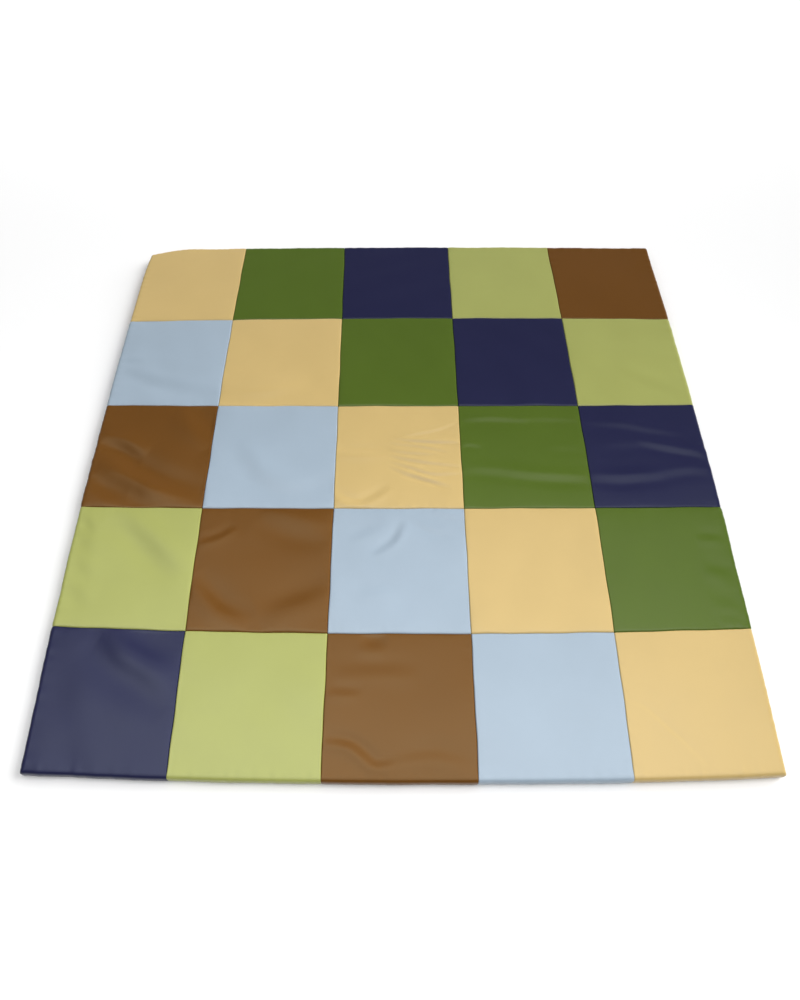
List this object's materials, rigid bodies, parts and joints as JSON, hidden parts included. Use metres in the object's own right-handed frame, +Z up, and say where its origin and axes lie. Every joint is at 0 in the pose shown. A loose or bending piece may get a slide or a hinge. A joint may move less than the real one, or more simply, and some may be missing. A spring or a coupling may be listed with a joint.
{
  "type": "padded play mat",
  "caption": "Square padded floor mat with a smooth vinyl cover pieced from coloured squares that turn down over its rim.",
  "frame": {"origin": "middle of the mat's plan, on the floor that it lies on", "axes": "+Z up through the thickness; -Y towards the front edge, nearest the camera; +X to the right"},
  "size_m": [1.465, 1.4656, 0.029],
  "materials": {
    "tan_vinyl": "smooth satin vinyl with a faint grain",
    "dark_green_vinyl": "smooth satin vinyl with a faint grain",
    "navy_vinyl": "smooth satin vinyl with a faint grain",
    "light_green_vinyl": "smooth satin vinyl with a faint grain",
    "brown_vinyl": "smooth satin vinyl with a faint grain",
    "light_blue_vinyl": "smooth satin vinyl with a faint grain",
    "back_vinyl": "smooth satin vinyl with a faint grain"
  },
  "bodies": {
    "root": {"filled_body": "back_vinyl", "square_row1_column1": "tan_vinyl", "square_row1_column2": "dark_green_vinyl", "square_row1_column3": "navy_vinyl", "square_row1_column4": "light_green_vinyl", "square_row1_column5": "brown_vinyl", "square_row2_column1": "light_blue_vinyl", "square_row2_column2": "tan_vinyl", "square_row2_column3": "dark_green_vinyl", "square_row2_column4": "navy_vinyl", "square_row2_column5": "light_green_vinyl", "square_row3_column1": "brown_vinyl", "square_row3_column2": "light_blue_vinyl", "square_row3_column3": "tan_vinyl", "square_row3_column4": "dark_green_vinyl", "square_row3_column5": "navy_vinyl", "square_row4_column1": "light_green_vinyl", "square_row4_column2": "brown_vinyl", "square_row4_column3": "light_blue_vinyl", "square_row4_column4": "tan_vinyl", "square_row4_column5": "dark_green_vinyl", "square_row5_column1": "navy_vinyl", "square_row5_column2": "light_green_vinyl", "square_row5_column3": "brown_vinyl", "square_row5_column4": "light_blue_vinyl", "square_row5_column5": "tan_vinyl"}
  },
  "joints": []
}
